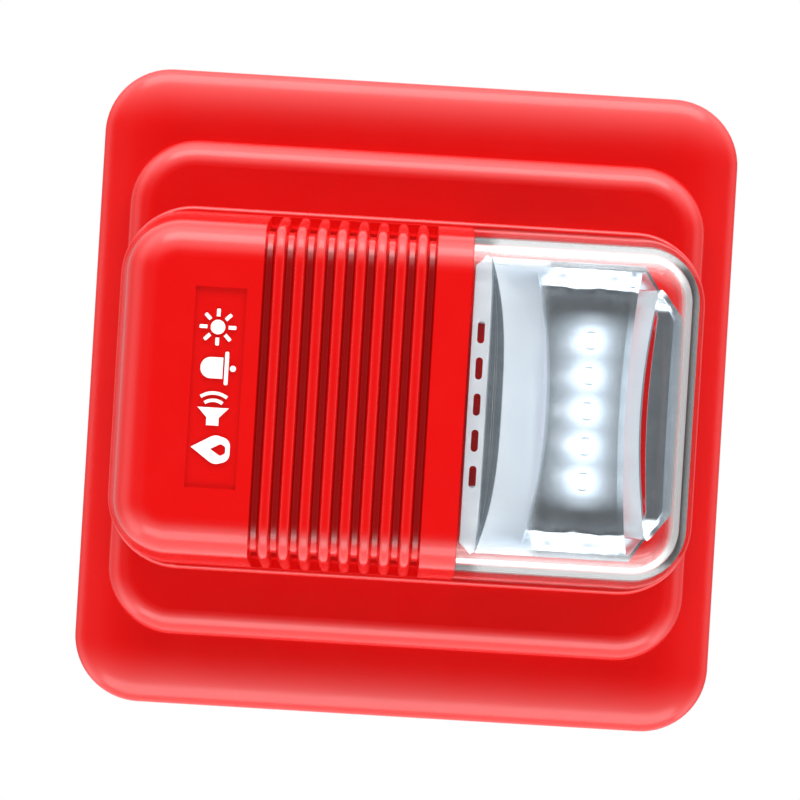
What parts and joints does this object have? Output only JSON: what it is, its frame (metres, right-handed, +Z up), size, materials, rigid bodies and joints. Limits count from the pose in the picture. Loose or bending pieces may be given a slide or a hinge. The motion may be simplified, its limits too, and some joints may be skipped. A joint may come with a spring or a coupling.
{
  "type": "horn strobe",
  "caption": "Square wall-mounted fire alarm horn strobe: stepped red housing, ribbed sounder front, clear strobe lens over a mirrored reflector, and plug-in mounting plate with terminals.",
  "frame": {"origin": "centre of the two wall-box screws on the back face of the mounting plate, in the wall's plane", "axes": "+Y into the wall, the front faces -Y, +Z up, +X to the right as seen from the front, where the lens is"},
  "size_m": [0.12, 0.048, 0.12],
  "materials": {
    "red_shell": "fine moulded gloss",
    "white_ink": "printed",
    "clear_lens": "clear polycarbonate, polished",
    "mirror_coat": "vacuum-metallised plastic, polished",
    "light_board": "white solder mask on aluminium",
    "led_body": "white moulded package, lit",
    "black_plastic": "fine moulded grain",
    "white_plastic": "moulded",
    "foam": "soft foam",
    "brass": "rolled sheet",
    "piezo_ceramic": "silvered ceramic",
    "lead_sleeve": "insulated wire",
    "steel": "zinc-plated",
    "board_green": "green solder mask on glass-fibre board",
    "can_sleeve": "shrink sleeve on an aluminium can",
    "ferrite": "sintered ferrite",
    "winding_tape": "polyester tape",
    "chip_body": "moulded epoxy",
    "switch_red": "moulded",
    "cover_grey": "fine moulded grain",
    "plate_grey": "fine moulded grain",
    "terminal_green": "moulded"
  },
  "bodies": {
    "base": {"mounting_plate": "plate_grey", "terminal_block": "terminal_green", "contact_clips": "brass"},
    "head": {"base_housing": "red_shell", "front_cover": "red_shell", "label_marks": "white_ink", "lens": "clear_lens", "reflector": "mirror_coat", "led_board": "light_board", "leds": "led_body", "led_pin_header": "black_plastic", "sound_chamber": "black_plastic", "piezo_gasket": "foam", "piezo_plate": "brass", "piezo_ceramic": "piezo_ceramic", "piezo_ring": "black_plastic", "piezo_leads": "lead_sleeve", "chamber_screws": "steel", "main_board": "board_green", "board_screws": "steel", "capacitors": "can_sleeve", "inductor": "ferrite", "transformer": "winding_tape", "chips": "chip_body", "small_parts": "chip_body", "dip_switch": "switch_red", "contact_blades": "brass", "rear_cover": "cover_grey", "cover_screws": "steel"},
    "dip_slider_1": {"dip_slider_1": "white_plastic"},
    "terminal_screw_1": {"terminal_screw_1": "steel"},
    "terminal_cage_1": {"terminal_cage_1": "steel"},
    "dip_slider_2": {"dip_slider_2": "white_plastic"},
    "terminal_screw_2": {"terminal_screw_2": "steel"},
    "terminal_cage_2": {"terminal_cage_2": "steel"},
    "dip_slider_3": {"dip_slider_3": "white_plastic"},
    "terminal_screw_3": {"terminal_screw_3": "steel"},
    "terminal_cage_3": {"terminal_cage_3": "steel"},
    "dip_slider_4": {"dip_slider_4": "white_plastic"},
    "terminal_screw_4": {"terminal_screw_4": "steel"},
    "terminal_cage_4": {"terminal_cage_4": "steel"}
  },
  "joints": [
    {"name": "head_release", "type": "slide", "parent": "base", "child": "head", "axis": [0, -1, 0], "range_m": [0, 0.045]},
    {"name": "dip_1_slide", "type": "slide", "parent": "head", "child": "dip_slider_1", "axis": [0, 0, 1], "range_m": [0, 0.002]},
    {"name": "dip_2_slide", "type": "slide", "parent": "head", "child": "dip_slider_2", "axis": [0, 0, 1], "range_m": [0, 0.002]},
    {"name": "dip_3_slide", "type": "slide", "parent": "head", "child": "dip_slider_3", "axis": [0, 0, 1], "range_m": [0, 0.002]},
    {"name": "dip_4_slide", "type": "slide", "parent": "head", "child": "dip_slider_4", "axis": [0, 0, 1], "range_m": [0, 0.002]},
    {"name": "terminal_1_turn", "type": "hinge", "parent": "base", "child": "terminal_screw_1", "pos_m": [-0.0135, -0.012, -0.02], "axis": [0, -1, 0], "range_deg": [0, 1405]},
    {"name": "terminal_1_clamp", "type": "slide", "parent": "base", "child": "terminal_cage_1", "axis": [0, 1, 0], "range_m": [0, 0.00195]},
    {"name": "terminal_2_turn", "type": "hinge", "parent": "base", "child": "terminal_screw_2", "pos_m": [-0.0045, -0.012, -0.02], "axis": [0, -1, 0], "range_deg": [0, 1405]},
    {"name": "terminal_2_clamp", "type": "slide", "parent": "base", "child": "terminal_cage_2", "axis": [0, 1, 0], "range_m": [0, 0.00195]},
    {"name": "terminal_3_turn", "type": "hinge", "parent": "base", "child": "terminal_screw_3", "pos_m": [0.0045, -0.012, -0.02], "axis": [0, -1, 0], "range_deg": [0, 1405]},
    {"name": "terminal_3_clamp", "type": "slide", "parent": "base", "child": "terminal_cage_3", "axis": [0, 1, 0], "range_m": [0, 0.00195]},
    {"name": "terminal_4_turn", "type": "hinge", "parent": "base", "child": "terminal_screw_4", "pos_m": [0.0135, -0.012, -0.02], "axis": [0, -1, 0], "range_deg": [0, 1405]},
    {"name": "terminal_4_clamp", "type": "slide", "parent": "base", "child": "terminal_cage_4", "axis": [0, 1, 0], "range_m": [0, 0.00195]}
  ],
  "couplings": [
    {"joint": "terminal_1_turn", "follows": "terminal_1_clamp", "rad_per_m": 12566},
    {"joint": "terminal_2_turn", "follows": "terminal_2_clamp", "rad_per_m": 12566},
    {"joint": "terminal_3_turn", "follows": "terminal_3_clamp", "rad_per_m": 12566},
    {"joint": "terminal_4_turn", "follows": "terminal_4_clamp", "rad_per_m": 12566}
  ]
}
